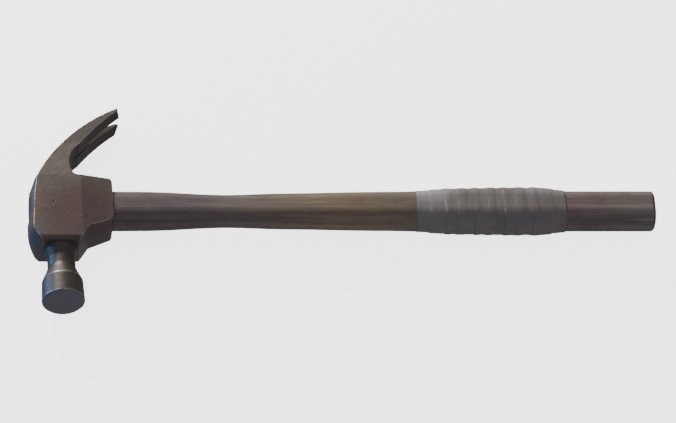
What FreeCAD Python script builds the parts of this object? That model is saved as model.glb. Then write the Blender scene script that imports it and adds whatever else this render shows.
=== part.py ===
import FreeCAD, Part
import Sketcher
import math
import os

# A claw hammer lying on its side: a forged steel head, a hickory handle fitted through the
# head's eye and spread by wedges, and cloth tape wound round the grip.
#
# Frame, in millimetres. +X runs along the handle from the head to the butt, the striking face
# looks along -Y, the claw curves away towards +Y, and +Z is up. The lower cheek lies on the
# plane z = 0, and the origin is on that cheek, under the crossing of handle and poll.

SIZES = {
    # the head
    "head_thickness": 28.0,
    "crown_rise": 2.9,
    "neck_radius": 9.0,
    "neck_root_radius": 11.6,
    "neck_root_start": 24.9,
    "neck_root_end": 28.0,
    "neck_start": 37.9,
    "flare_foot": 45.0,
    "flare_start": 48.6,
    "flare_start_radius": 10.1,
    "flare_end": 54.6,
    "flare_end_radius": 12.7,
    "poll_start": 56.0,
    "poll_start_radius": 13.2,
    "poll_end": 70.1,
    "poll_end_radius": 13.8,
    "face_distance": 71.4,
    "face_radius": 12.5,
    "shoulder_distance": 31.1,
    "shoulder_rounding": 3.6,
    "skirt_taper_x": 14.0,
    "skirt_end_half": 11.8,
    # the claw
    "claw_narrow_y": 45.0,
    "claw_narrow_half": 12.8,
    "claw_tip_half": 13.3,
    "slot_mouth": 6.8,
    "slot_apex_x": 11.5,
    "slot_apex_half": 0.8,
    "slot_apex_radius": 0.82,
    "claw_tip_x": 41.9,
    "tip_setback": 1.8,
    "tip_edge_width": 10.0,
    "tip_clearance": 0.1,
    # how far a cutting outline reaches beyond the metal or wood that it cuts
    "cutter_margin": 5.0,
    # the handle's section, as shares of its half width
    "thickness_share": 0.824,
    "corner_share": 0.86,
    # the eye, which is narrowest at its throat, and the tenon that fills it
    "eye_mouth_x": 34.1,
    "eye_mouth_half": 12.6,
    "eye_throat_x": 8.0,
    "eye_throat_half": 11.5,
    "eye_top_x": -22.0,
    "eye_top_half": 12.1,
    "tenon_end_x": -18.5,
    # the handle's swells, as places along it and half widths there
    "behind_head_x": 60.0,
    "behind_head_half": 12.35,
    "taper_x": 84.0,
    "taper_half": 11.28,
    "waist_x": 108.0,
    "waist_half": 10.48,
    "swell_x": 132.0,
    "swell_half": 11.18,
    "belly_x": 156.0,
    "belly_half": 11.6,
    "palm_x": 180.0,
    "palm_half": 12.08,
    "heel_x": 204.0,
    "heel_half": 12.45,
    "grip_x": 228.0,
    "grip_half": 12.8,
    "butt_x": 383.7,
    "butt_rounding": 2.8,
    # the wedges
    "wooden_wedge_depth": 30.5,
    "wooden_wedge_width": 22.4,
    "wooden_wedge_top": 3.4,
    "wooden_wedge_toe": 1.2,
    "steel_wedge_depth": 18.5,
    "steel_wedge_width": 12.0,
    "steel_wedge_top": 2.2,
    "steel_wedge_toe": 0.5,
    "steel_wedge_spacing": 11.0,
    # the tape, as places along it and half widths there
    "tape_start_x": 229.0,
    "tape_start_half": 13.3,
    "tape_rise_x": 249.0,
    "tape_rise_half": 14.5,
    "tape_full_x": 270.0,
    "tape_full_half": 14.95,
    "tape_peak_x": 296.0,
    "tape_peak_half": 15.35,
    "tape_fall_x": 312.0,
    "tape_fall_half": 14.9,
    "tape_end_x": 325.4,
    "tape_end_half": 13.3,
}

# The head's side outline, corner by corner. A corner's last value is the radius of the arc
# that leads to the next corner: 0 for a straight edge, positive where the arc turns left.
HEAD_OUTLINE = [
    ("shoulder_top", -11.2, -31.1, 0),
    ("shoulder_foot", 11.2, -31.1, 0),
    ("throat_face_side", 18.7, -19.7, 0),
    ("skirt_face_side", 27.7, -16.4, 0),
    ("skirt_corner_face_side", 33.0, -14.4, 0),
    ("skirt_end_face_side", 34.1, -12.2, 0),
    ("skirt_end_claw_side", 34.1, 14.8, 0),
    ("skirt_corner_claw_side", 33.0, 17.2, 0),
    ("crotch_skirt_side", 12.4, 19.4, -4.5),
    ("crotch_claw_side", 9.3, 21.2, -17.9),
    ("claw_front_bend", 14.7, 44.4, -136.0),
    ("claw_tip_front", 41.9, 71.6, 0),
    ("claw_tip_back", 40.0, 72.3, 107.0),
    ("claw_back_bend", 5.8, 47.9, 100.0),
    ("claw_heel", -9.6, 26.9, 100.0),
    ("claw_root", -13.7, 19.0, 0),
    ("crown_claw_side", -15.5, 7.0, 0),
    ("crown_face_side", -17.3, -17.8, 14.5),
]

# The crowned head top's corners, each with its share of crown_rise midway between the cheeks.
CROWN_OUTLINE = {
    "claw_heel": 0,
    "claw_root": 0.8,
    "crown_claw_side": 1.6,
    "crown_face_side": 1.05,
    "shoulder_top": 0,
}

HANDLE_STATIONS = ["eye_mouth", "behind_head", "taper", "waist", "swell"]
HANDLE_STATIONS += ["belly", "palm", "heel", "grip"]
EYE_STATIONS = ["eye_top", "eye_throat", "eye_mouth"]
TAPE_STATIONS = ["tape_start", "tape_rise", "tape_full", "tape_peak", "tape_fall", "tape_end"]
WEDGE_SIDES = {"claw": 1, "face": -1}
ACROSS_TENON = "(Sizes.eye_top_half + Sizes.cutter_margin) * 2"

# Points closer than this are taken as being in the same place.
SAME_PLACE = 0.01


def fill_spreadsheet(doc):
    """Put every driving dimension in a cell with an alias"""
    sheet = doc.addObject("Spreadsheet::Sheet", "Sizes")
    cells = dict(SIZES)
    for name, x, y, radius in HEAD_OUTLINE:
        cells[name + "_x"] = x
        cells[name + "_y"] = y
        if radius:
            cells[name + "_arc"] = abs(radius)
    for row, (alias, value) in enumerate(cells.items(), start=1):
        sheet.set(f"A{row}", alias)
        sheet.set(f"B{row}", str(value))
        sheet.setAlias(f"B{row}", alias)
    doc.recompute()
    return sheet


def new_body(doc, label):
    """Start a sub-part whose own origin is on the hammer's plane of symmetry"""
    body = doc.addObject("PartDesign::Body", label)
    body.Label = label
    body.setExpression("Placement.Base.z", "Sizes.head_thickness / 2")
    return body


def new_sketch(body, name, role, distance=None):
    """Attach a sketch to one of the body's own origin planes, moved along its normal"""
    sketch = body.newObject("Sketcher::SketchObject", name)
    planes = [item for item in body.Origin.OriginFeatures if item.Role == role]
    sketch.AttachmentSupport = [(planes[0], "")]
    sketch.MapMode = "FlatFace"
    if distance:
        sketch.setExpression("AttachmentOffset.Base.z", distance)
    return sketch


def value(expression):
    """The number that a spreadsheet expression stands for now"""
    return float(SHEET.evalExpression(expression.replace("Sizes.", "")))


def hold(sketch, kind, places, name, expression):
    """Add a dimension to a sketch and bind it to the spreadsheet"""
    index = sketch.addConstraint(Sketcher.Constraint(kind, *places, value(expression)))
    sketch.renameConstraint(index, name)
    sketch.setExpression("Constraints." + name, expression)


def arc_centre(start, end, radius):
    """Centre of the arc from start to end, on the left of the way when radius is positive"""
    chord = end - start
    height = math.sqrt(radius ** 2 - (chord.Length / 2) ** 2)
    left = FreeCAD.Vector(-chord.y, chord.x, 0).normalize()
    return (start + end) / 2 + left * math.copysign(height, radius)


def add_arc(sketch, start, end, radius):
    """Draw the arc and return its number and its first and last point's codes"""
    centre = arc_centre(start, end, radius)
    circle = Part.Circle(centre, FreeCAD.Vector(0, 0, 1), abs(radius))
    first = math.atan2(start.y - centre.y, start.x - centre.x)
    last = math.atan2(end.y - centre.y, end.x - centre.x)
    if radius > 0:
        return sketch.addGeometry(Part.ArcOfCircle(circle, first, last)), 1, 2
    return sketch.addGeometry(Part.ArcOfCircle(circle, last, first)), 2, 1


def draw_outline(sketch, corners):
    """Close a loop through (name, x, y, arc) corners, each x, y and arc an expression"""
    points = [FreeCAD.Vector(value(x), value(y), 0) for _, x, y, _ in corners]
    edges = []
    for number, (_, _, _, arc) in enumerate(corners):
        start = points[number]
        end = points[(number + 1) % len(points)]
        if arc:
            edges.append(add_arc(sketch, start, end, value(arc)))
        else:
            edges.append((sketch.addGeometry(Part.LineSegment(start, end)), 1, 2))
    for number, (edge, _, last) in enumerate(edges):
        following, first, _ = edges[(number + 1) % len(edges)]
        sketch.addConstraint(Sketcher.Constraint("Coincident", edge, last, following, first))
    for (edge, first, _), (name, x, y, arc) in zip(edges, corners):
        hold(sketch, "DistanceX", (-1, 1, edge, first), name + "_x", x)
        hold(sketch, "DistanceY", (-1, 1, edge, first), name + "_y", y)
        if arc:
            hold(sketch, "Radius", (edge,), name + "_arc", arc.lstrip("-"))


def rounded_section(sketch, half):
    """The handle's section: flat on four sides, with large round corners"""
    thickness = f"Sizes.{half}_half * Sizes.thickness_share"
    corner = f"{thickness} * Sizes.corner_share"
    a = value(f"Sizes.{half}_half")
    b = value(thickness)
    r = value(corner)
    ends = [
        FreeCAD.Vector(a, -(b - r), 0),
        FreeCAD.Vector(a, b - r, 0),
        FreeCAD.Vector(a - r, b, 0),
        FreeCAD.Vector(-(a - r), b, 0),
        FreeCAD.Vector(-a, b - r, 0),
        FreeCAD.Vector(-a, -(b - r), 0),
        FreeCAD.Vector(-(a - r), -b, 0),
        FreeCAD.Vector(a - r, -b, 0),
    ]
    edges = []
    for number, start in enumerate(ends):
        end = ends[(number + 1) % len(ends)]
        if number % 2:
            edges.append(add_arc(sketch, start, end, r)[0])
        else:
            edges.append(sketch.addGeometry(Part.LineSegment(start, end)))
    for number, edge in enumerate(edges):
        following = edges[(number + 1) % len(edges)]
        sketch.addConstraint(Sketcher.Constraint("Tangent", edge, 2, following, 1))
    right, first_corner, top, second_corner, left, third_corner, bottom, last_corner = edges
    sketch.addConstraint(Sketcher.Constraint("Vertical", right))
    sketch.addConstraint(Sketcher.Constraint("Horizontal", top))
    for other in (second_corner, third_corner, last_corner):
        sketch.addConstraint(Sketcher.Constraint("Equal", first_corner, other))
    sketch.addConstraint(Sketcher.Constraint("Symmetric", right, 1, left, 1, -1, 1))
    sketch.addConstraint(Sketcher.Constraint("Symmetric", top, 1, bottom, 1, -1, 1))
    hold(sketch, "DistanceX", (-1, 1, right, 1), "half_width", f"Sizes.{half}_half")
    hold(sketch, "DistanceY", (-1, 1, top, 1), "half_thickness", thickness)
    hold(sketch, "Radius", (first_corner,), "corner", corner)


def section_sketches(body, stations):
    """One handle section at each named station along X"""
    sketches = []
    for station in stations:
        sketch = new_sketch(body, station + "_section", "YZ_Plane", f"Sizes.{station}_x")
        rounded_section(sketch, station)
        sketches.append(sketch)
    return sketches


def loft(body, kind, name, sketches, ruled):
    """Join a row of section sketches into a solid, or cut that solid away"""
    feature = body.newObject("PartDesign::" + kind, name)
    feature.Profile = sketches[0]
    feature.Sections = sketches[1:]
    feature.Ruled = ruled
    return feature


def head_corners():
    """The head's side outline, with each corner bound to its cells"""
    corners = []
    for name, _, _, radius in HEAD_OUTLINE:
        turn = "-" if radius < 0 else ""
        arc = f"{turn}Sizes.{name}_arc" if radius else ""
        corners.append((name, f"Sizes.{name}_x", f"Sizes.{name}_y", arc))
    return corners


def crown_section(body, name, distance, rise):
    """The head top's outline at one height between the cheeks, raised by rise"""
    sketch = new_sketch(body, name, "XY_Plane", distance)
    corners = [("core", "Sizes.crown_claw_side_x / 2", "Sizes.crown_face_side_y / 2", "")]
    for corner, x, y, arc in head_corners():
        if corner in CROWN_OUTLINE:
            arc = arc if corner == "crown_face_side" else ""
            corners.append((corner, f"{x} - {rise} * {CROWN_OUTLINE[corner]}", y, arc))
    shoulder = corners.pop(1)
    draw_outline(sketch, corners + [shoulder])
    return sketch


def poll_outline(sketch):
    """Half the lengthwise section of the neck and poll, to be turned round the Y axis"""
    corners = [
        ("root_centre", "0", "-Sizes.neck_root_start", ""),
        ("face_centre", "0", "-Sizes.face_distance", ""),
        ("face_rim", "Sizes.face_radius", "-Sizes.face_distance", ""),
        ("poll_rim", "Sizes.poll_end_radius", "-Sizes.poll_end", ""),
        ("poll_edge", "Sizes.poll_start_radius", "-Sizes.poll_start", ""),
        ("flare_end", "Sizes.flare_end_radius", "-Sizes.flare_end", ""),
        ("flare_start", "Sizes.flare_start_radius", "-Sizes.flare_start", ""),
        ("flare_foot", "Sizes.neck_radius", "-Sizes.flare_foot", ""),
        ("neck_start", "Sizes.neck_radius", "-Sizes.neck_start", ""),
        ("root_rim", "Sizes.neck_root_radius", "-Sizes.neck_root_end", ""),
        ("root_side", "Sizes.neck_root_radius", "-Sizes.neck_root_start", ""),
    ]
    draw_outline(sketch, corners)


def turn_poll(body):
    """Turn the neck and poll round the striking axis"""
    profile = new_sketch(body, "poll_outline", "XY_Plane")
    poll_outline(profile)
    poll = body.newObject("PartDesign::Revolution", "neck_and_poll")
    poll.Profile = profile
    poll.ReferenceAxis = (profile, ["V_Axis"])
    poll.Angle = 360


def add_crown(body):
    """Bulge the head top midway between the cheeks"""
    sketches = [
        crown_section(body, "crown_low", "-Sizes.head_thickness / 2", "0"),
        crown_section(body, "crown_middle", "0", "Sizes.crown_rise"),
        crown_section(body, "crown_high", "Sizes.head_thickness / 2", "0"),
    ]
    loft(body, "AdditiveLoft", "crown", sketches, False)


def cut_eye(body):
    """The double-tapered hole that the handle is wedged in"""
    loft(body, "SubtractiveLoft", "eye", section_sketches(body, EYE_STATIONS), True)


def cut_nail_slot(body):
    """V-shaped slot between the claw's two tines, with a round apex"""
    sketch = new_sketch(body, "slot_outline", "XZ_Plane", "-Sizes.shoulder_distance")
    beyond = "Sizes.claw_tip_x + Sizes.cutter_margin"
    widening = "(Sizes.slot_mouth / 2) / (Sizes.claw_tip_x - Sizes.slot_apex_x)"
    mouth = f"{widening} * ({beyond} - Sizes.slot_apex_x)"
    corners = [
        ("apex_low", "Sizes.slot_apex_x", "-Sizes.slot_apex_half", ""),
        ("mouth_low", beyond, "-" + mouth, ""),
        ("mouth_high", beyond, mouth, ""),
        ("apex_high", "Sizes.slot_apex_x", "Sizes.slot_apex_half", "Sizes.slot_apex_radius"),
    ]
    draw_outline(sketch, corners)
    slot = body.newObject("PartDesign::Pocket", "nail_slot")
    slot.Profile = sketch
    slot.Type = "ThroughAll"


def set_back_tips(body):
    """Slant each tine's end so that its outer corner is shorter than its inner corner"""
    for side, sign in (("low", "-"), ("high", "")):
        sketch = new_sketch(body, "tip_slant_" + side, "XZ_Plane", "-Sizes.shoulder_distance")
        inner = f"{sign}(Sizes.head_thickness / 2 - Sizes.tip_edge_width)"
        outer = f"{sign}Sizes.head_thickness / 2"
        corners = [
            ("inner", "Sizes.claw_tip_x + Sizes.tip_clearance", inner, ""),
            ("outer_far", "Sizes.claw_tip_x + Sizes.cutter_margin", outer, ""),
            ("outer_near", "Sizes.claw_tip_x - Sizes.tip_setback", outer, ""),
        ]
        draw_outline(sketch, corners)
        slant = body.newObject("PartDesign::Pocket", "tip_slant_cut_" + side)
        slant.Profile = sketch
        slant.Type = "ThroughAll"


def narrow_claw(body):
    """Draw the claw in from the cheeks' thickness, and let it flare again at its tips"""
    past = "Sizes.claw_tip_back_y + Sizes.cutter_margin"
    full = "Sizes.head_thickness / 2"
    clear = f"({full} + Sizes.cutter_margin)"
    behind = "Sizes.claw_root_x - Sizes.cutter_margin"
    for side, sign in (("low", "-"), ("high", "")):
        sketch = new_sketch(body, "claw_side_" + side, "YZ_Plane", behind)
        corners = [
            ("root", "Sizes.claw_root_y", f"{sign}{full}", ""),
            ("narrow", "Sizes.claw_narrow_y", f"{sign}Sizes.claw_narrow_half", ""),
            ("tip", "Sizes.claw_tip_back_y", f"{sign}Sizes.claw_tip_half", ""),
            ("past_tip", past, f"{sign}Sizes.claw_tip_half", ""),
            ("outside", past, f"{sign}{clear}", ""),
            ("root_outside", "Sizes.claw_root_y", f"{sign}{clear}", ""),
        ]
        draw_outline(sketch, corners)
        cut = body.newObject("PartDesign::Pocket", "claw_side_cut_" + side)
        cut.Profile = sketch
        cut.Type = "ThroughAll"
        cut.Reversed = True


def taper_skirt(body):
    """Thin the eye's skirt, from the cheeks' thickness to its own at the handle"""
    full = "Sizes.head_thickness / 2"
    clear = f"({full} + Sizes.cutter_margin)"
    beyond = "Sizes.eye_mouth_x + Sizes.cutter_margin"
    for side, sign in (("low", "-"), ("high", "")):
        sketch = new_sketch(body, "skirt_side_" + side, "XZ_Plane")
        corners = [
            ("start", "Sizes.skirt_taper_x", f"{sign}{full}", ""),
            ("end", "Sizes.eye_mouth_x", f"{sign}Sizes.skirt_end_half", ""),
            ("past_end", beyond, f"{sign}Sizes.skirt_end_half", ""),
            ("outside", beyond, f"{sign}{clear}", ""),
            ("start_outside", "Sizes.skirt_taper_x", f"{sign}{clear}", ""),
        ]
        draw_outline(sketch, corners)
        cut = body.newObject("PartDesign::Pocket", "skirt_taper_cut_" + side)
        cut.Profile = sketch
        cut.SideType = "Symmetric"
        cut.setExpression("Length", "Sizes.shoulder_distance * 2 + Sizes.cutter_margin")


def edge_names(shape, wanted):
    """Names of the edges whose middle point and length pass a test"""
    names = []
    for number, edge in enumerate(shape.Edges, start=1):
        middle = edge.valueAt((edge.FirstParameter + edge.LastParameter) / 2)
        if wanted(edge, middle):
            names.append(f"Edge{number}")
    return names


def round_edges(body, name, wanted, radius):
    """Fillet the chosen edges of the body as it stands"""
    body.Document.recompute()
    base = body.Tip
    edges = edge_names(base.Shape, wanted)
    fillet = body.newObject("PartDesign::Fillet", name)
    fillet.Base = (base, edges)
    fillet.setExpression("Radius", radius)


def on_cheek(point):
    """Whether a point is in the plane of either cheek, seen from the plane of symmetry"""
    return abs(abs(point.z) - SIZES["head_thickness"] / 2) < SAME_PLACE


def make_head(doc):
    """Forged steel head: cheeks, claw and skirt in one outline, then crown, neck, poll, eye"""
    body = new_body(doc, "hammer_head")
    side = new_sketch(body, "side_outline", "XY_Plane")
    draw_outline(side, head_corners())
    block = body.newObject("PartDesign::Pad", "cheeks_and_claw")
    block.Profile = side
    block.SideType = "Symmetric"
    block.setExpression("Length", "Sizes.head_thickness")
    add_crown(body)
    shoulder_y = -value("Sizes.shoulder_distance")
    round_edges(
        body,
        "shoulder_rounding",
        lambda edge, middle: on_cheek(middle) and abs(middle.y - shoulder_y) < SAME_PLACE,
        "Sizes.shoulder_rounding",
    )
    narrow_claw(body)
    taper_skirt(body)
    cut_nail_slot(body)
    set_back_tips(body)
    turn_poll(body)
    cut_eye(body)
    return body


def wedge_outline(sketch, name, centre):
    """A driven wedge from the sawn end of the tenon, thick there and thin at its toe"""
    top = f"Sizes.{name}_top / 2"
    toe = f"Sizes.{name}_toe / 2"
    tip = f"Sizes.tenon_end_x + Sizes.{name}_depth"
    corners = [
        ("top_low", "Sizes.tenon_end_x", f"{centre} - {top}", ""),
        ("toe_low", tip, f"{centre} - {toe}", ""),
        ("toe_high", tip, f"{centre} + {toe}", ""),
        ("top_high", "Sizes.tenon_end_x", f"{centre} + {top}", ""),
    ]
    draw_outline(sketch, corners)


def steel_wedge_centre(side):
    """Where a steel wedge stands across the handle's width"""
    return f"Sizes.steel_wedge_spacing / 2 * {WEDGE_SIDES[side]}"


def add_wedge_feature(body, kind, name, role, centre, length):
    """Pad a wedge, or cut the slot that it sits in, symmetric about the sketch"""
    sketch = new_sketch(body, name + "_outline_" + kind.lower(), role)
    wedge_outline(sketch, name, centre)
    feature = body.newObject("PartDesign::" + kind, name + "_" + kind.lower())
    feature.Profile = sketch
    feature.SideType = "Symmetric"
    feature.setExpression("Length", length)
    return feature


def cut_steel_wedge_slots(body):
    """Slots that the two steel wedges cut in whatever they are driven through"""
    for side in WEDGE_SIDES:
        centre = steel_wedge_centre(side)
        sketch = new_sketch(body, f"slot_{side}_outline", "XY_Plane")
        wedge_outline(sketch, "steel_wedge", centre)
        slot = body.newObject("PartDesign::Pocket", f"slot_{side}_side")
        slot.Profile = sketch
        slot.SideType = "Symmetric"
        slot.setExpression("Length", "Sizes.steel_wedge_width")


def saw_off_tenon(body):
    """Cut the tenon flush, just below the crowned head top"""
    sketch = new_sketch(body, "sawn_end", "XY_Plane")
    far = "Sizes.eye_top_x - Sizes.cutter_margin"
    side = "(Sizes.eye_top_half + Sizes.cutter_margin)"
    corners = [
        ("far_low", far, "-" + side, ""),
        ("near_low", "Sizes.tenon_end_x", "-" + side, ""),
        ("near_high", "Sizes.tenon_end_x", side, ""),
        ("far_high", far, side, ""),
    ]
    draw_outline(sketch, corners)
    cut = body.newObject("PartDesign::Pocket", "sawn_flush")
    cut.Profile = sketch
    cut.SideType = "Symmetric"
    cut.setExpression("Length", ACROSS_TENON)


def make_handle(doc):
    """Hickory handle: tenon, slim waist, swelling grip and rounded butt"""
    body = new_body(doc, "handle")
    loft(body, "AdditiveLoft", "tenon", section_sketches(body, EYE_STATIONS), True)
    loft(body, "AdditiveLoft", "shaft", section_sketches(body, HANDLE_STATIONS), False)
    end_section = new_sketch(body, "butt_section", "YZ_Plane", "Sizes.grip_x")
    rounded_section(end_section, "grip")
    butt = body.newObject("PartDesign::Pad", "butt")
    butt.Profile = end_section
    butt.setExpression("Length", "Sizes.butt_x - Sizes.grip_x")
    butt_x = value("Sizes.butt_x")
    round_edges(
        body,
        "butt_rounding",
        lambda edge, middle: abs(middle.x - butt_x) < SAME_PLACE,
        "Sizes.butt_rounding",
    )
    saw_off_tenon(body)
    add_wedge_feature(body, "Pocket", "wooden_wedge", "XZ_Plane", "0", ACROSS_TENON)
    cut_steel_wedge_slots(body)
    return body


def make_wooden_wedge(doc):
    """Hardwood wedge that fills the saw kerf across the tenon"""
    body = new_body(doc, "wooden_wedge")
    width = "Sizes.wooden_wedge_width"
    add_wedge_feature(body, "Pad", "wooden_wedge", "XZ_Plane", "0", width)
    cut_steel_wedge_slots(body)
    return body


def make_steel_wedge(doc, side):
    """Small steel wedge driven across the wooden one"""
    body = new_body(doc, f"steel_wedge_{side}_side")
    centre = steel_wedge_centre(side)
    add_wedge_feature(body, "Pad", "steel_wedge", "XY_Plane", centre, "Sizes.steel_wedge_width")
    return body


def make_tape(doc):
    """Cloth tape wound round the grip, as one plain sleeve with the winding's true outside"""
    body = new_body(doc, "grip_tape")
    loft(body, "AdditiveLoft", "winding", section_sketches(body, TAPE_STATIONS), False)
    before = "Sizes.tape_start_x - Sizes.cutter_margin"
    inside = new_sketch(body, "handle_inside", "YZ_Plane", before)
    rounded_section(inside, "grip")
    bore = body.newObject("PartDesign::Pocket", "handle_bore")
    bore.Profile = inside
    bore.Reversed = True
    past = "Sizes.tape_end_x + Sizes.cutter_margin"
    bore.setExpression("Length", f"{past} - ({before})")
    return body


def check_document(doc):
    """Stop if any object failed to compute"""
    for item in doc.Objects:
        if "Invalid" in item.State or "Error" in item.State:
            raise RuntimeError(f"{item.Name} has state {item.State}")


def export_parts(bodies):
    """Write one STEP file for each sub-part, named after its label"""
    os.makedirs("parts", exist_ok=True)
    for body in bodies:
        shape = body.Shape
        if shape.isNull() or not shape.isValid():
            raise RuntimeError(f"{body.Label} has no valid shape")
        shape.exportStep(f"parts/{body.Label}.step")
        print(body.Label, round(shape.Volume), "mm3,", len(shape.Solids), "solid")


doc = FreeCAD.newDocument("claw_hammer")
SHEET = fill_spreadsheet(doc)
hammer_bodies = [make_head(doc), make_handle(doc), make_wooden_wedge(doc)]
hammer_bodies += [make_steel_wedge(doc, side) for side in WEDGE_SIDES]
hammer_bodies.append(make_tape(doc))
doc.recompute()
check_document(doc)
export_parts(hammer_bodies)
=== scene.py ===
# %% [markdown]
# # A claw hammer, laid on its side
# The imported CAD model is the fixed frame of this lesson. It gives the steel head, the wooden
# handle and the wedges their exact shapes, and they keep them here: they only get their
# finishes. The tape on the grip is different. In CAD it is a plain sleeve that holds its place,
# and here it becomes a real strip of cloth, wound round the handle turn by turn.

# %% Load the frame and read its sizes
import bpy
import math
import numpy as np
from mathutils import Matrix, Vector


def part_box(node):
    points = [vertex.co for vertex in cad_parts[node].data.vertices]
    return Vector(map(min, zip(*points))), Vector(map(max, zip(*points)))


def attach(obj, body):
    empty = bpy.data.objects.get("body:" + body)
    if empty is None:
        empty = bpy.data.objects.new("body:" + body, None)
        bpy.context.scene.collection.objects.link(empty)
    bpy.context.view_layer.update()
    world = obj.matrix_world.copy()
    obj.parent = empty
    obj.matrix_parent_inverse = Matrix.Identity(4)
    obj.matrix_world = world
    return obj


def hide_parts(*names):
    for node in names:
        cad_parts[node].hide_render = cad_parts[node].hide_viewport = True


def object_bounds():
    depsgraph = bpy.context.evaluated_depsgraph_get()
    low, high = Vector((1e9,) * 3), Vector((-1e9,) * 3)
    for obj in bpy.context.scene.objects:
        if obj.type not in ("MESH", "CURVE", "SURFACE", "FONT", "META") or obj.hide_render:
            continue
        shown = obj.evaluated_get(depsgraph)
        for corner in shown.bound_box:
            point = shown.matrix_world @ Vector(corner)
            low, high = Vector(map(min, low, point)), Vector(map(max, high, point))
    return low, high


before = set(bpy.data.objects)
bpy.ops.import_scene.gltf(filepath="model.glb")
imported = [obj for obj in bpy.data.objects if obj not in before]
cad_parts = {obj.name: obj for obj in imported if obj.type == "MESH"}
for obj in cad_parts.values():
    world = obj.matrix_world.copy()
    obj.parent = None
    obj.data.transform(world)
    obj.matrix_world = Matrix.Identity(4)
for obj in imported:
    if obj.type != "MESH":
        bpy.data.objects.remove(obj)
CAD_LOW, CAD_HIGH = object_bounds()
HEAD_LOW, HEAD_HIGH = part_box("hammer_head")
HANDLE_LOW, HANDLE_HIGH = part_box("handle")
TAPE_LOW, TAPE_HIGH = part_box("grip_tape")
MIDDLE_Z = (HANDLE_LOW.z + HANDLE_HIGH.z) / 2
print("hammer", [round(side * 1000, 1) for side in CAD_HIGH - CAD_LOW], "mm")
print("tape", [round(side * 1000, 1) for side in TAPE_HIGH - TAPE_LOW], "mm")

# %% [markdown]
# ## The camera
# A long lens, far away, keeps the hammer's proportions nearly free of perspective. It looks down
# steeply on the upper cheek and is rolled until the handle lies level across the picture. The
# distance follows from the lens and from how much width the picture has to take in.

# %% Camera
AZIMUTH = math.radians(-10.98)
ELEVATION = math.radians(53.5)
ROLL = math.radians(8.85)
LENS = 400.0
SENSOR = 36.0
WIDTH_SEEN = 0.4326
AIM_SHARE = 0.4672
FAR_ENOUGH = 50


def make_camera():
    """Aim the camera near the middle of the hammer's length, from the wanted direction"""
    back = Vector((
        math.sin(AZIMUTH) * math.cos(ELEVATION),
        -math.cos(AZIMUTH) * math.cos(ELEVATION),
        math.sin(ELEVATION),
    ))
    level = Vector((math.cos(AZIMUTH), math.sin(AZIMUTH), 0))
    right = level * math.cos(ROLL) + back.cross(level) * math.sin(ROLL)
    data = bpy.data.cameras.new("camera")
    data.lens = LENS
    data.sensor_width = SENSOR
    data.clip_end = FAR_ENOUGH
    camera = bpy.data.objects.new("camera", data)
    bpy.context.scene.collection.objects.link(camera)
    aim = Vector((HANDLE_HIGH.x * AIM_SHARE, 0, MIDDLE_Z))
    distance = WIDTH_SEEN * LENS / SENSOR
    turn = Matrix((right, back.cross(right), back)).transposed().to_4x4()
    camera.matrix_world = Matrix.Translation(aim + back * distance) @ turn
    bpy.context.scene.camera = camera
    print("camera", round(distance, 2), "m from the hammer")


make_camera()

# %% [markdown]
# ## Building materials from nodes
# A procedural material is a small network of nodes. It could be drawn by hand in the Shader
# Editor, but written out it can be read and changed. Two helpers start every network: one adds
# a node and fills its sockets, and the other gives a new material with its shader and the place
# of each point on the object. A third puts a finished material on a CAD piece.

# %% Start a material, and put it on a piece
def put(tree, kind, inputs=None, **settings):
    """Add a node, set its options, and give each named input a number or another node's output"""
    node = tree.nodes.new("ShaderNode" + kind)
    for name, setting in settings.items():
        setattr(node, name, setting)
    for name, source in (inputs or {}).items():
        fill(tree, node.inputs[name], source)
    return node


def fill(tree, socket, source):
    """Wire an output to a socket, or set the socket to a number or a colour"""
    if isinstance(source, bpy.types.NodeSocket):
        tree.links.new(source, socket)
    else:
        socket.default_value = source


def start_material(name):
    """A material's node tree, its shader, and the place of each point on the object"""
    material = bpy.data.materials.new(name)
    material.use_nodes = True
    tree = material.node_tree
    shader = tree.nodes["Principled BSDF"]
    place = put(tree, "TexCoord").outputs["Object"]
    return material, tree, shader, place


def wire_up(tree, shader, colour, rough, normal):
    """Give the shader the three outputs that every finish here ends in"""
    tree.links.new(colour, shader.inputs["Base Color"])
    tree.links.new(rough, shader.inputs["Roughness"])
    tree.links.new(normal, shader.inputs["Normal"])


def dress(node_name, material):
    """Put a material in every slot of a CAD node"""
    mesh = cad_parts[node_name].data
    for number in range(len(mesh.materials)):
        mesh.materials[number] = material
    print(node_name, "wears", material.name)


# %% [markdown]
# ### Sums and masks
# Most of a finish is a question of where: where the rust is, where the edge is worn. A mask
# answers with a number from 0 to 1 at every point. It is a range laid over some other number,
# and masks that are multiplied give the places where both hold.

# %% Sums and masks
def maths(tree, operation, first, second=0.0):
    """One sum on two numbers or outputs"""
    node = put(tree, "Math", operation=operation)
    for socket, source in zip(node.inputs, (first, second)):
        fill(tree, socket, source)
    return node.outputs[0]


def times(tree, first, second):
    """One number or mask multiplied by another"""
    return maths(tree, "MULTIPLY", first, second)


def apart(tree, value, level):
    """How far a number is from a level, on either side"""
    return maths(tree, "ABSOLUTE", maths(tree, "SUBTRACT", value, level))


def mask(tree, value, start, end):
    """0 where value is at start or beyond, 1 where it is at end, smooth between them"""
    wanted = {"Value": value, "From Min": start, "From Max": end}
    return put(tree, "MapRange", wanted, interpolation_type="SMOOTHSTEP").outputs["Result"]


def blend_number(tree, factor, first, second):
    """Go from one number to another with a mask"""
    wanted = {"Value": factor, "To Min": first, "To Max": second}
    return put(tree, "MapRange", wanted).outputs["Result"]


def split(tree, vector):
    """The x, y and z outputs of a place or a direction"""
    return put(tree, "SeparateXYZ", {"Vector": vector}).outputs


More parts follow.
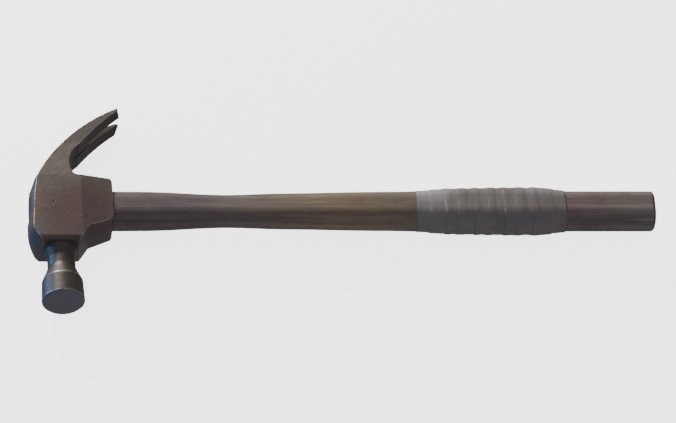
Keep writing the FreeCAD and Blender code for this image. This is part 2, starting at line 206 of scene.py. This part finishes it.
# %% [markdown]
# ### Noise, colour and bumps
# Plain noise gives patches. The same noise drawn out along one axis gives grain or scratches.
# A tint lays a new colour over the old one through a mask, at a chosen strength, so a finish is
# built up in thin layers, as it was on the real tool. A bump turns a pattern into relief that
# only the light sees.

# %% Noise, colour and bumps
NOISE_ROUGHNESS = 0.6


def noise(tree, place, size, stretch=(1, 1, 1), detail=4.0, shift=(0, 0, 0)):
    """Noise whose patches are about size metres across, drawn out by stretch along each axis"""
    scale = [1 / (size * factor) for factor in stretch]
    moved = put(tree, "Mapping", {"Vector": place, "Scale": scale, "Location": shift})
    wanted = {
        "Vector": moved.outputs["Vector"],
        "Scale": 1.0,
        "Detail": detail,
        "Roughness": NOISE_ROUGHNESS,
    }
    return put(tree, "TexNoise", wanted).outputs["Fac"]


def mix(tree, factor, first, second):
    """Blend two colours, each a colour or an output"""
    node = put(tree, "Mix", data_type="RGBA", blend_type="MIX")
    for number, source in ((0, factor), (6, first), (7, second)):
        if isinstance(source, tuple):
            source = (*source, 1)
        fill(tree, node.inputs[number], source)
    return node.outputs[2]


def tint(tree, colour, where, strength, new):
    """Lay a new colour over the old one, through a mask and at a strength"""
    return mix(tree, times(tree, where, strength), colour, new)


def colours_along(tree, value, stops):
    """Colours at places from 0 to 1, blended between them"""
    ramp = put(tree, "ValToRGB", {"Fac": value})
    elements = ramp.color_ramp.elements
    while len(elements) < len(stops):
        elements.new(0.5)
    for element, (position, colour) in zip(elements, stops):
        element.position = position
        element.color = (*colour, 1)
    return ramp.outputs["Color"]


def bump(tree, height, strength, distance, below=None):
    """Turn a height pattern into a surface normal, on top of another normal if there is one"""
    wanted = {"Height": height, "Strength": strength, "Distance": distance}
    if below is not None:
        wanted["Normal"] = below
    return put(tree, "Bump", wanted).outputs["Normal"]


# %% [markdown]
# ## The forged head: its skin
# The head is carbon steel that was forged, hardened and blackened, and then carried about for
# years. Handling leaves a thin patina. It isn't one brown: it drifts between a greenish and a
# redder grey, and the cheek has a plum-coloured patch where it is handled most. Slow noise
# makes the drift, and a distance from one point makes the patch.

# %% Patina
PATINA_GREEN = (0.145, 0.130, 0.110)
PATINA_BROWN = (0.165, 0.138, 0.120)
PATINA_PLUM = (0.115, 0.074, 0.070)
PLUM_CENTRE = (0.012, -0.012, HEAD_HIGH.z)
PLUM_OUTSIDE = 0.036
PLUM_INSIDE = 0.012


def patina(tree, place):
    """Two shades of brown-grey, with a plum patch in the middle of the cheek"""
    patches = mask(tree, noise(tree, place, 0.022, shift=(3, 1, 0)), 0.35, 0.65)
    colour = mix(tree, patches, PATINA_GREEN, PATINA_BROWN)
    away = put(tree, "VectorMath", operation="DISTANCE")
    tree.links.new(place, away.inputs[0])
    away.inputs[1].default_value = PLUM_CENTRE
    plum = mask(tree, away.outputs["Value"], PLUM_OUTSIDE, PLUM_INSIDE)
    return tint(tree, colour, plum, 0.8, PATINA_PLUM)


# %% [markdown]
# ### Rust, pits and scratches
# Rust starts where the steel is bare and damp: along the cheek just behind the domed top, and
# in small pits scattered over the forging. Scratches run mostly along the two ways the hammer is
# pushed into a tool bag. Each is a mask, because the colour and the relief both need it.

# %% Rust, pits and scratches
RUST = (0.22, 0.11, 0.05)
PIT_DARK = (0.045, 0.025, 0.02)
SCRATCH_GREY = (0.20, 0.18, 0.165)


def rust_band(tree, place, x, y):
    """1 where rust has crept along the cheek just behind the domed top"""
    from_crown = maths(tree, "SUBTRACT", x, HEAD_LOW.x)
    band = times(tree, mask(tree, from_crown, 0.0085, 0.0055), mask(tree, y, 0.012, 0.004))
    band = times(tree, band, mask(tree, y, -0.024, -0.014))
    return times(tree, band, mask(tree, noise(tree, place, 0.004, (1, 2.5, 1)), 0.4, 0.6))


def rust_pits(tree, place):
    """Small pits, in scattered groups"""
    pits = mask(tree, noise(tree, place, 0.0024, detail=2.0), 0.64, 0.72)
    groups = mask(tree, noise(tree, place, 0.014, shift=(0, 5, 2)), 0.45, 0.6)
    return times(tree, pits, groups)


def fine_scratches(tree, place):
    """Thin scratches along the handle's direction and across it"""
    lengthwise = mask(tree, noise(tree, place, 0.0006, (26, 1, 1), 2.0), 0.66, 0.74)
    crosswise = mask(tree, noise(tree, place, 0.0007, (1, 22, 1), 2.0, (7, 2, 5)), 0.68, 0.76)
    return maths(tree, "MAXIMUM", lengthwise, crosswise)


# %% [markdown]
# ### Bright edges and rings
# Knocks polish the edges of the cheeks, and the turned rings of the poll stay bright. The CAD
# edges are sharp, so a Bevel node rounds them in the shading only. Where that rounded normal
# parts from the flat one there is an edge, so the same node also says where the wear is.

# %% Bright edges and rings
EDGE_ROUNDING = 0.0007
EDGE_SAMPLES = 6
POLL_EDGE_Y = HEAD_LOW.y + 0.0163
FACE_RIM_Y = HEAD_LOW.y + 0.0015
RINGS = ((POLL_EDGE_Y, 0.0010), (FACE_RIM_Y, 0.0006))
POLISHED = (0.85, 0.83, 0.79)


def worn_edges(tree):
    """A softened normal for sharp edges, and a mask that is 1 on them"""
    soft = put(tree, "Bevel", {"Radius": EDGE_ROUNDING}, samples=EDGE_SAMPLES).outputs["Normal"]
    flat = put(tree, "NewGeometry").outputs["True Normal"]
    match = put(tree, "VectorMath", operation="DOT_PRODUCT")
    tree.links.new(soft, match.inputs[0])
    tree.links.new(flat, match.inputs[1])
    return soft, mask(tree, match.outputs["Value"], 0.995, 0.9)


def bright_wear(tree, place, y, z, edge):
    """1 where knocks keep the steel bright: the cheeks' edges and the poll's rings"""
    knocked = mask(tree, noise(tree, place, 0.009, shift=(2, 8, 1)), 0.36, 0.52)
    on_cheek = mask(tree, apart(tree, z, MIDDLE_Z), 0.0105, 0.0125)
    on_poll = mask(tree, y, POLL_EDGE_Y + 0.006, POLL_EDGE_Y + 0.003)
    exposed = maths(tree, "MAXIMUM", on_cheek, on_poll)
    bright = times(tree, times(tree, edge, knocked), exposed)
    for ring_y, width in RINGS:
        ring = mask(tree, apart(tree, y, ring_y), width, width / 3)
        ring = times(tree, ring, mask(tree, knocked, 0.0, 0.5))
        bright = maths(tree, "MAXIMUM", bright, ring)
    return bright


# %% [markdown]
# ### The claw, the poll and the struck face
# Three places on the head differ from its cheeks. Nothing rubs the inside of the claw, so its
# black scale is still there. The poll was ground bare and is darker and cleaner. The striking
# face is polished by every nail. Each lies in a known stretch of the head's length.

# %% Head steel
BLACK_SCALE = (0.045, 0.035, 0.027)
GROUND_STEEL = (0.078, 0.068, 0.058)
STRUCK_STEEL = (0.20, 0.21, 0.225)


def claw_and_poll(tree, colour, y):
    """Black scale inside the claw, ground steel on the poll, and a brighter struck face"""
    towards_grip = split(tree, put(tree, "NewGeometry").outputs["Normal"])[0]
    inside_claw = times(tree, mask(tree, towards_grip, 0.3, 0.6), mask(tree, y, 0.017, 0.024))
    colour = tint(tree, colour, inside_claw, 0.75, BLACK_SCALE)
    ground = mask(tree, y, -0.028, -0.038)
    colour = tint(tree, colour, ground, 0.7, GROUND_STEEL)
    struck = mask(tree, y, HEAD_LOW.y + 0.0014, HEAD_LOW.y + 0.0009)
    return tint(tree, colour, struck, 0.8, STRUCK_STEEL)


def make_head_steel():
    """Patina, rust, pits, scratches and bright wear, in the order they came about"""
    material, tree, shader, place = start_material("head_steel")
    x, y, z = split(tree, place)
    soft, edge = worn_edges(tree)
    rusty = rust_band(tree, place, x, y)
    pits = rust_pits(tree, place)
    scratches = fine_scratches(tree, place)
    bright = bright_wear(tree, place, y, z, edge)

    colour = patina(tree, place)
    colour = tint(tree, colour, rusty, 0.7, RUST)
    colour = tint(tree, colour, pits, 0.75, PIT_DARK)
    colour = tint(tree, colour, scratches, 0.35, SCRATCH_GREY)
    colour = tint(tree, colour, bright, 0.85, POLISHED)
    colour = claw_and_poll(tree, colour, y)

    rough = blend_number(tree, noise(tree, place, 0.006), 0.40, 0.55)
    rough = maths(tree, "SUBTRACT", rough, times(tree, bright, 0.14))
    rough = maths(tree, "ADD", rough, times(tree, rusty, 0.2))
    forged = noise(tree, place, 0.0035, detail=6.0, shift=(1, 1, 4))
    normal = bump(tree, forged, 0.22, 0.0006, soft)
    dents = maths(tree, "ADD", pits, times(tree, scratches, 0.4))
    normal = bump(tree, maths(tree, "SUBTRACT", 1.0, dents), 0.35, 0.0003, normal)
    shader.inputs["Metallic"].default_value = 0.7
    wire_up(tree, shader, colour, rough, normal)
    return material


dress("hammer_head", make_head_steel())

# %% [markdown]
# ## The hickory handle
# Hickory is ring-porous: lengthwise it shows long dark pores and soft bands of early wood, and
# on a sawn end it shows dots and curved rings. Both come from one idea here. Noise drawn out
# along the handle makes the pores, and it turns into dots by itself wherever the surface cuts
# across the grain.

# %% Grain
GRAIN_LENGTH = 40
PALE_STREAK = (0.42, 0.36, 0.31)


def shade(colour, share):
    """The same colour, darker"""
    return tuple(share * part for part in colour)


def add_grain(tree, place, colour, dark):
    """Soft bands, pale streaks, dark pores and grime, and the pores' mask for the relief"""
    bands = mask(tree, noise(tree, place, 0.0045, (GRAIN_LENGTH, 1, 1), 3.0), 0.35, 0.68)
    colour = tint(tree, colour, bands, 0.55, dark)
    streaks = noise(tree, place, 0.0022, (GRAIN_LENGTH / 2, 1, 1), 3.0, (4, 0, 9))
    colour = tint(tree, colour, mask(tree, streaks, 0.6, 0.74), 0.45, PALE_STREAK)
    pores = noise(tree, place, 0.0005, (GRAIN_LENGTH, 1, 1), 2.0, (0, 3, 0))
    pores = mask(tree, pores, 0.58, 0.7)
    colour = tint(tree, colour, pores, 0.55, shade(dark, 0.35))
    grime = mask(tree, noise(tree, place, 0.012, (3, 1, 1), 5.0, (9, 9, 0)), 0.5, 0.7)
    return tint(tree, colour, grime, 0.35, shade(dark, 0.6)), pores


# %% [markdown]
# ### Hand marks and end grain
# Hands and years shift the colour along the length: plum-grey behind the head, honey brown
# where the tool is carried, grey again at the butt. The carried stretch has oil stains and a
# mossy tinge in patches. The tenon's sawn end drinks in dirt. The butt's end and its rounded
# edge face away from the light and are given painted shade. Both are the darkest wood of all.

# %% Hand marks and end grain
OIL_STAIN = (0.25, 0.15, 0.08)
MOSSY = (0.22, 0.20, 0.09)
CARRIED_FROM = (0.36, 0.44)
CARRIED_TO = (0.70, 0.60)


def add_hand_marks(tree, place, along, colour):
    """Oil and a mossy tinge, on the stretch of the handle that is carried"""
    carried = times(tree, mask(tree, along, *CARRIED_FROM), mask(tree, along, *CARRIED_TO))
    oiled = mask(tree, noise(tree, place, 0.013, (2, 1, 1), 3.0, (2, 7, 5)), 0.45, 0.6)
    colour = tint(tree, colour, times(tree, carried, oiled), 0.32, OIL_STAIN)
    mossy = mask(tree, noise(tree, place, 0.015, (2, 1, 1), 3.0, (8, 1, 3)), 0.5, 0.62)
    return tint(tree, colour, times(tree, carried, mossy), 0.4, MOSSY)


def paint_butt_shade_and_tenon_dirt(tree, x, colour, dark):
    """Painted shade on the butt's end and rounded edge, which face away from the light, and dirt in the
    tenon's end grain
    """
    # painted shade: the butt's end and its rounded edge face away from the light and are darkened here
    butt_painted_shade = mask(tree, x, HANDLE_HIGH.x - 0.0022, HANDLE_HIGH.x - 0.0008)
    tenon = mask(tree, x, 0.0, -0.012)
    return tint(tree, colour, maths(tree, "MAXIMUM", butt_painted_shade, tenon), 0.7, shade(dark, 0.5))


def make_wood(name, stops, dark, polish):
    """Long-grained wood whose colour shifts along the handle"""
    material, tree, shader, place = start_material(name)
    x = split(tree, place)[0]
    from_tenon = maths(tree, "SUBTRACT", x, HANDLE_LOW.x)
    along = maths(tree, "DIVIDE", from_tenon, HANDLE_HIGH.x - HANDLE_LOW.x)
    drift = maths(tree, "SUBTRACT", noise(tree, place, 0.03, (2, 1, 1)), 0.5)
    colour = colours_along(tree, maths(tree, "ADD", along, times(tree, drift, 0.12)), stops)
    colour, pores = add_grain(tree, place, colour, dark)
    colour = add_hand_marks(tree, place, along, colour)
    colour = paint_butt_shade_and_tenon_dirt(tree, x, colour, dark)
    rough = blend_number(tree, noise(tree, place, 0.008, (4, 1, 1)), polish, polish + 0.2)
    normal = bump(tree, maths(tree, "SUBTRACT", 1.0, pores), 0.3, 0.0003)
    ridges = noise(tree, place, 0.003, (GRAIN_LENGTH / 3, 1, 1))
    normal = bump(tree, ridges, 0.25, 0.0006, normal)
    wire_up(tree, shader, colour, rough, normal)
    return material


HANDLE_COLOURS = [
    (0.0, (0.155, 0.113, 0.108)),
    (0.27, (0.175, 0.13, 0.125)),
    (0.40, (0.24, 0.195, 0.13)),
    (0.48, (0.31, 0.235, 0.13)),
    (0.62, (0.20, 0.165, 0.12)),
    (0.84, (0.235, 0.165, 0.145)),
    (0.97, (0.24, 0.20, 0.16)),
]
dress("handle", make_wood("handle_wood", HANDLE_COLOURS, (0.075, 0.052, 0.045), 0.42))

# %% [markdown]
# ## The wedges
# A hardwood wedge spreads the tenon in the eye, and two small steel ones cross it. Only their
# tops show. The wooden one uses the same recipe as the handle, in its own dirty brown, because
# its end is as black with age. The steel is dull, with a film of rust.

# %% Wedges
WEDGE_COLOURS = [(0.0, (0.17, 0.12, 0.085)), (0.1, (0.16, 0.11, 0.08))]
DULL_STEEL = (0.30, 0.28, 0.26)
RUST_FILM = (0.17, 0.10, 0.07)


def make_wedge_steel():
    """Dull mild steel, filmed with rust"""
    material, tree, shader, place = start_material("wedge_steel")
    film = mask(tree, noise(tree, place, 0.002, detail=6.0), 0.4, 0.62)
    colour = mix(tree, film, DULL_STEEL, RUST_FILM)
    rough = blend_number(tree, film, 0.4, 0.7)
    shader.inputs["Metallic"].default_value = 0.8
    wire_up(tree, shader, colour, rough, bump(tree, film, 0.3, 0.0002))
    return material


dress("wooden_wedge", make_wood("wedge_wood", WEDGE_COLOURS, (0.07, 0.05, 0.035), 0.55))
wedge_steel = make_wedge_steel()
for side in ("claw", "face"):
    dress(f"steel_wedge_{side}_side", wedge_steel)

# %% [markdown]
# ## The grip tape
# The real thing is one strip of cloth tape. It starts square to the handle at the butt end of
# the grip, goes round, steps on to its next place on the underside, reaches the other end, and
# comes back over itself with its laps between the first ones. A cloth simulation would find
# nothing to do here, because tape wound tight has no folds. So it is laid the way a hand lays
# it. First, the shape it is wound on: how wide the wrapped grip is at each place, and the
# handle's section, a square with very round corners.

# %% The shape that the tape is wound on
TAPE_THICK = 0.0003
TAPE_WIDTH = 0.0215
STEPS_PER_TURN = 180
THICKNESS_SHARE = 0.824
CORNER_SHARE = 0.709
CORNER_POINTS = 60
SWELL = [
    (0.0, 0.868),
    (0.09, 0.905),
    (0.2, 0.945),
    (0.41, 0.974),
    (0.68, 1.0),
    (0.845, 0.971),
    (1.0, 0.874),
]


def wanted_half_width(x):
    """Half the wrapped grip's width at x: it swells in the middle of the taped length"""
    share = (x - TAPE_LOW.x) / (TAPE_HIGH.x - TAPE_LOW.x)
    places, halves = zip(*SWELL)
    return np.interp(share, places, halves) * TAPE_HIGH.y


def handle_section(count):
    """Points round the handle's section, for a half width of 1, evenly spaced"""
    flat_y = 1 - CORNER_SHARE
    flat_z = THICKNESS_SHARE - CORNER_SHARE
    points = []
    for quarter in range(4):
        centre_y = flat_y if quarter in (0, 3) else -flat_y
        centre_z = flat_z if quarter in (0, 1) else -flat_z
        for step in range(CORNER_POINTS):
            angle = math.pi / 2 * (quarter + step / (CORNER_POINTS - 1))
            y = centre_y + CORNER_SHARE * math.cos(angle)
            z = centre_z + CORNER_SHARE * math.sin(angle)
            points.append((y, z))
    points.append(points[0])
    points = np.array(points)
    steps = np.linalg.norm(np.diff(points, axis=0), axis=1)
    run = np.concatenate([[0], np.cumsum(steps)])
    wanted = np.linspace(0, run[-1], count + 1)
    section = np.stack([np.interp(wanted, run, points[:, axis]) for axis in (0, 1)], axis=1)
    return section, run[-1]


for share, _ in SWELL:
    x = TAPE_LOW.x + share * (TAPE_HIGH.x - TAPE_LOW.x)
    print("at", round(x * 1000), "mm the wrap is", round(wanted_half_width(x) * 2000, 1), "mm wide")

# %% [markdown]
# ### Where each turn goes
# The turns hold their place round the top of the grip and move along it on the underside. That
# is a stepped line, softened over part of a turn. A hand is never quite steady, so the strip
# also wanders by less than half a millimetre, and not at all at its two ends.

# %% Where each turn goes
BANDS = [1, 0.875, 0.625, 0.375, 0.125, 0, 0.25, 0.5, 0.75, 1]
STEP_ACROSS = 0.3
HELD_SHARE = 0.85
WANDER = 0.00045
WANDER_SMOOTHING = 41
TOTAL_STEPS = len(BANDS) * STEPS_PER_TURN


def climbing():
    """Share of the way along the grip for every step: square round the top, sideways below"""
    held = np.repeat(BANDS, STEPS_PER_TURN)
    half = int(STEP_ACROSS * STEPS_PER_TURN / 2)
    padded = np.pad(held, half, mode="edge")
    stepped = np.convolve(padded, np.ones(2 * half + 1) / (2 * half + 1), mode="valid")
    turns = (np.arange(TOTAL_STEPS) + 0.5) / STEPS_PER_TURN - 0.5
    drifting = np.interp(turns, np.arange(len(BANDS)), BANDS)
    return HELD_SHARE * stepped + (1 - HELD_SHARE) * drifting


def unsteady_hand(rng):
    """A slow wander either way, in metres, for every step"""
    wander = np.cumsum(rng.normal(0, 1, TOTAL_STEPS))
    wander -= np.linspace(wander[0], wander[-1], TOTAL_STEPS)
    kernel = np.ones(WANDER_SMOOTHING) / WANDER_SMOOTHING
    wander = np.convolve(wander, kernel, mode="same")
    return wander * (WANDER / np.abs(wander).max())


print("turns", len(BANDS), "in two passes")

# %% [markdown]
# ### Laying the strip on a height field
# A height field holds how far the wrap stands above the handle at each angle and place. The
# strip is laid down step by step. Its underside rests on the highest points below it, bridging
# narrow gaps, and its own thickness is then added to the field for the next turn to lie on.
# So each lap shows as a real ridge, wherever the turns happen to meet.

# %% Lay the strip
UNDERSIDE = 0.86
COLUMNS_PER_MM = 2
BRIDGE = 0.0016
TAPE_LAYERS = 2.6


def columns_in(length):
    """How many columns of the height field a length covers"""
    return int(length * 1000 * COLUMNS_PER_MM)


def angle_at(step):
    """Which angle round the handle a step is at: the strip starts and ends on the underside"""
    return (step + int(UNDERSIDE * STEPS_PER_TURN)) % STEPS_PER_TURN


def rest_on(below):
    """Height of the strip's underside: over the highest points, smooth across narrow gaps"""
    window = columns_in(BRIDGE) | 1
    padded = np.pad(below, window // 2 * 2, mode="edge")
    highest = [padded[i:i + window].max() for i in range(len(padded) - window + 1)]
    return np.convolve(highest, np.ones(window) / window, mode="valid")


def lay_tape():
    """The strip's places along the handle and the heights of its outer surface, step by step"""
    length = TAPE_HIGH.x - TAPE_LOW.x
    columns = columns_in(length) + 1
    xs = np.linspace(TAPE_LOW.x, TAPE_HIGH.x, columns)
    padding = wanted_half_width(xs) - HANDLE_HIGH.y - TAPE_LAYERS * TAPE_THICK
    field = np.tile(np.clip(padding, 0, None), (STEPS_PER_TURN, 1))
    wide = columns_in(TAPE_WIDTH)
    climb = climbing()
    wander = unsteady_hand(np.random.default_rng(7))
    places, heights = [], []
    for step in range(TOTAL_STEPS):
        share = climb[step]
        edge = TAPE_LOW.x + share * (length - TAPE_WIDTH) + wander[step] * math.sin(math.pi * share)
        first = int(round((edge - TAPE_LOW.x) * 1000 * COLUMNS_PER_MM))
        first = min(max(first, 0), columns - wide - 1)
        angle = angle_at(step)
        top = rest_on(field[angle, first:first + wide + 1]) + TAPE_THICK
        field[angle, first:first + wide + 1] = top
        places.append(edge + np.linspace(0, TAPE_WIDTH, wide + 1))
        heights.append(top)
    return np.array(places), np.array(heights)


places, heights = lay_tape()
print("tape laid in", len(places), "steps, highest", round(heights.max() * 1000, 2), "mm above the wood")

# %% [markdown]
# ### The strip's mesh
# The mesh follows those heights. Cloth that climbs a swelling grip has slack on one edge, which
# gathers into short creases along the strip, so low ridges lift it there. A Solidify modifier
# gives the strip its thickness inwards. Its flat coordinates, in metres along and across the
# strip, are kept for the weave.

# %% Build the tape's mesh
CREASES = 150
CREASE_LIFT = 0.00018


def creases(rows, columns, rng):
    """Short low ridges and hollows that run along the strip"""
    lift = np.zeros((rows, columns))
    i = np.arange(rows)[:, None]
    j = np.arange(columns)[None, :]
    for _ in range(CREASES):
        row = rng.integers(0, rows)
        column = rng.uniform(0, columns)
        long_way = rng.uniform(5, 16)
        across = rng.uniform(0.8, 1.6)
        strength = rng.uniform(-0.5, 1.0)
        lift += strength * np.exp(-((i - row) / long_way) ** 2 - ((j - column) / across) ** 2)
    return lift * CREASE_LIFT


def strip_points(section, lift):
    """Every point of the strip's outer surface, row by row"""
    points = []
    for row, (row_places, row_lift) in enumerate(zip(places, lift)):
        y, z = section[angle_at(row)]
        for x, above in zip(row_places, row_lift):
            half = HANDLE_HIGH.y + above
            points.append((x, y * half, MIDDLE_Z + z * half))
    return points


def strip_faces(rows, columns):
    """Four-sided faces between neighbouring rows and columns"""
    faces = []
    for row in range(rows - 1):
        for column in range(columns - 1):
            corner = row * columns + column
            faces.append((corner, corner + columns, corner + columns + 1, corner + 1))
    return faces


def make_tape():
    """The wound strip, one closed piece of cloth, and its length when flat"""
    section, perimeter = handle_section(STEPS_PER_TURN)
    rows, columns = places.shape
    lift = heights + creases(rows, columns, np.random.default_rng(3))
    mesh = bpy.data.meshes.new("tape")
    mesh.from_pydata(strip_points(section, lift), [], strip_faces(rows, columns))
    for face in mesh.polygons:
        face.use_smooth = True
    along = perimeter * HANDLE_HIGH.y / STEPS_PER_TURN
    layer = mesh.uv_layers.new(name="cloth")
    for loop in mesh.loops:
        row, column = divmod(loop.vertex_index, columns)
        layer.data[loop.index].uv = (row * along, column * TAPE_WIDTH / (columns - 1))
    tape = bpy.data.objects.new("tape", mesh)
    bpy.context.scene.collection.objects.link(tape)
    solid = tape.modifiers.new("cloth_thickness", "SOLIDIFY")
    solid.thickness = TAPE_THICK * 0.85
    solid.offset = -1
    strip_length = (rows - 1) * along
    print("tape strip", round(strip_length * 1000), "x", round(TAPE_WIDTH * 1000, 1), "mm")
    return tape, strip_length


tape, strip_length = make_tape()

# %% [markdown]
# ### The tape's dirt, scuffs and painted light
# Friction tape is grey cotton, and years of hands make it blotchy: olive and brown stains. The
# start next to the bare wood is pale all round, and paler on the side facing the key light, as is
# a patch near the far end: partly scuffs, partly painted light. The laps are paler along their
# edges: partly rubbed, partly a painted highlight on each lap's edge. As on the steel, each is a
# thin layer of colour with a mask.

# %% Dirt, scuffs and painted light
CLOTH_PALE = (0.265, 0.232, 0.20)
CLOTH_HANDLED = (0.225, 0.19, 0.175)
CLOTH_DULL = (0.18, 0.165, 0.145)
CLOTH_OLIVE = (0.21, 0.195, 0.12)
CLOTH_STAIN = (0.20, 0.14, 0.10)
START_SCUFF_AND_PAINTED_LIGHT = (0.50, 0.475, 0.465)
END_SCUFF_AND_PAINTED_LIGHT = (0.34, 0.32, 0.31)


def cloth_dirt_and_painted_light(tree, place, patches):
    """The cloth's colour along the grip, with its patches, stains and scuffs, and painted light on the
    side facing the key light
    """
    x, y = split(tree, place)[:2]
    along = maths(tree, "SUBTRACT", x, TAPE_LOW.x)
    colour = mix(tree, mask(tree, along, 0.012, 0.085), CLOTH_PALE, CLOTH_HANDLED)
    colour = tint(tree, colour, patches, 0.5, CLOTH_DULL)
    olive = mask(tree, noise(tree, place, 0.011, shift=(5, 2, 8)), 0.5, 0.66)
    colour = tint(tree, colour, olive, 0.6, CLOTH_OLIVE)
    stain = mask(tree, noise(tree, place, 0.007, shift=(1, 6, 3)), 0.56, 0.68)
    colour = tint(tree, colour, stain, 0.5, CLOTH_STAIN)
    # partly a scuff, partly painted light: the start of the grip is made paler only on the side facing
    # the key light
    scuffed_and_lit = times(tree, mask(tree, along, 0.030, 0.014), mask(tree, y, -0.003, 0.007))
    colour = tint(tree, colour, scuffed_and_lit, 0.75, START_SCUFF_AND_PAINTED_LIGHT)
    # partly a scuff, partly painted light: a paler patch near the far end, only on the side facing the
    # key light
    scuffed_and_lit_end = times(tree, mask(tree, along, 0.062, 0.075), mask(tree, y, 0.0, 0.008))
    return tint(tree, colour, scuffed_and_lit_end, 0.6, END_SCUFF_AND_PAINTED_LIGHT)


# %% [markdown]
# ### The weave
# The cotton is a plain weave, about one thread to a millimetre. Two crossed sine waves, along
# and across the strip, make it. They follow the strip's own flat coordinates, so the threads
# turn with the tape, and the laps are found from the distance to its edge.

# %% Tape cloth
THREAD_SPACING = 0.0009
LAP_RUBBED_AND_HIGHLIGHT = (0.50, 0.48, 0.46)
BETWEEN_THREADS = (0.07, 0.07, 0.07)


def threads(tree, direction):
    """A wave with one crest for each thread"""
    return maths(tree, "SINE", times(tree, direction, 2 * math.pi / THREAD_SPACING))


def make_tape_cloth():
    """Grey cotton tape: a plain weave, paler on its laps from rubbing and a painted highlight, with
    stains and grime
    """
    material, tree, shader, place = start_material("tape_cloth")
    cloth = put(tree, "UVMap", uv_map="cloth").outputs["UV"]
    u, v = split(tree, cloth)[:2]
    weave = blend_number(tree, times(tree, threads(tree, u), threads(tree, v)), 0.5, 1.0)
    patches = mask(tree, noise(tree, place, 0.014, (1.5, 1, 1), 5.0), 0.35, 0.65)
    colour = cloth_dirt_and_painted_light(tree, place, patches)
    # partly rubbed wear, partly a painted highlight: each lap's edge is made paler, where the edge would
    # catch the light
    patchy_lap = mask(tree, noise(tree, place, 0.005, shift=(3, 3, 1)), 0.52, 0.66)
    lap_rubbed_and_lit = times(tree, mask(tree, v, 0.0011, 0.0002), patchy_lap)
    colour = tint(tree, colour, lap_rubbed_and_lit, 0.5, LAP_RUBBED_AND_HIGHLIGHT)
    gaps = maths(tree, "SUBTRACT", 1.0, weave)
    colour = tint(tree, colour, gaps, 0.3, BETWEEN_THREADS)
    normal = bump(tree, weave, 0.35, 0.00012)
    puckers = noise(tree, cloth, 0.0018, (7, 1, 1), 3.0)
    normal = bump(tree, puckers, 0.5, 0.0005, normal)
    wire_up(tree, shader, colour, blend_number(tree, patches, 0.55, 0.75), normal)
    return material


tape.data.materials.append(make_tape_cloth())
print("tape wears", tape.data.materials[0].name)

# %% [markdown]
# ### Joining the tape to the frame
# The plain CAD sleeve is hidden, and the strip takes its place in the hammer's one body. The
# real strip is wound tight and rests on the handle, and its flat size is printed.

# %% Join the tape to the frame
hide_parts("grip_tape")
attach(tape, "root")
print("sheet", round(TAPE_WIDTH * 1000, 1), "x", round(strip_length * 1000), "mm flat")

# %% [markdown]
# ## The floor
# The hammer lies on a plain pale floor. A floor this bright would fill the steel's reflections
# and lighten every side that faces down or forwards. So it shines a little of its own light to
# the camera, and is kept out of the reflections and the bounced light.

# %% Floor
FLOOR_REACH = 8
FLOOR_GREY = (0.93, 0.93, 0.93, 1)


def make_floor():
    """A large pale square under the hammer"""
    corners = [(-1, -1), (1, -1), (1, 1), (-1, 1)]
    data = bpy.data.meshes.new("floor")
    data.from_pydata([(x * FLOOR_REACH, y * FLOOR_REACH, 0) for x, y in corners], [], [(0, 1, 2, 3)])
    floor = bpy.data.objects.new("floor", data)
    bpy.context.scene.collection.objects.link(floor)
    floor.location.z = CAD_LOW.z
    material = bpy.data.materials.new("floor")
    material.use_nodes = True
    shader = material.node_tree.nodes["Principled BSDF"]
    shader.inputs["Base Color"].default_value = FLOOR_GREY
    shader.inputs["Roughness"].default_value = 0.9
    shader.inputs["Emission Color"].default_value = (1, 1, 1, 1)
    shader.inputs["Emission Strength"].default_value = 3.0
    data.materials.append(material)
    floor.visible_diffuse = False
    floor.visible_glossy = False
    print("floor at", round(CAD_LOW.z * 1000, 1), "mm")


make_floor()

# %% [markdown]
# ## The lights
# A warm key light stands behind the hammer, so the surfaces that face up and back are light and
# those that face the viewer fall away. A low blue window on the left gives the steel its cold
# strip along the domed top and the left of the poll. Both are broad, which keeps shadows soft.

# %% Lights
LIGHT_AIM = (0.15, 0, 0.014)


def make_area(name, place, size, power, colour):
    """A soft rectangular light, aimed at the hammer, that the camera doesn't see"""
    data = bpy.data.lights.new(name, "AREA")
    data.shape = "RECTANGLE"
    data.size, data.size_y = size
    data.energy = power
    data.color = colour
    light = bpy.data.objects.new(name, data)
    bpy.context.scene.collection.objects.link(light)
    light.location = place
    way = Vector(LIGHT_AIM) - Vector(place)
    light.rotation_mode = "QUATERNION"
    light.rotation_quaternion = way.to_track_quat("-Z", "Y")
    light.visible_camera = False
    print(name, power, "W,", round(way.length, 2), "m away")


make_area("key_light", (-0.5, 1.42, 0.66), (0.55, 0.45), 28, (1.0, 0.96, 0.92))
make_area("blue_window", (-1.3, 0.75, 0.10), (0.7, 0.5), 13, (0.25, 0.52, 1.0))

# %% [markdown]
# ## The surroundings
# Bare steel shows what is around it more than its own colour. The world is a dim grey room that
# is warmer at the back, cooler in front and below, and blue on the window's side. Masks on the
# direction do it, so no picture of a room is needed.

# %% World
ROOM_FRONT = (0.31, 0.305, 0.345)
ROOM_BACK = (0.34, 0.32, 0.30)
ROOM_BELOW = (0.33, 0.315, 0.34)
ROOM_WINDOW = (0.15, 0.25, 0.50)


def make_world():
    """A dim room whose colour depends on the direction"""
    world = bpy.data.worlds.new("studio")
    bpy.context.scene.world = world
    world.use_nodes = True
    tree = world.node_tree
    x, y, z = split(tree, put(tree, "TexCoord").outputs["Generated"])
    colour = mix(tree, mask(tree, y, -0.2, 0.95), ROOM_FRONT, ROOM_BACK)
    colour = mix(tree, mask(tree, z, 0.0, -0.5), colour, ROOM_BELOW)
    colour = mix(tree, mask(tree, x, -0.35, -0.85), colour, ROOM_WINDOW)
    tree.links.new(colour, tree.nodes["Background"].inputs["Color"])
    print("world", world.name)


make_world()
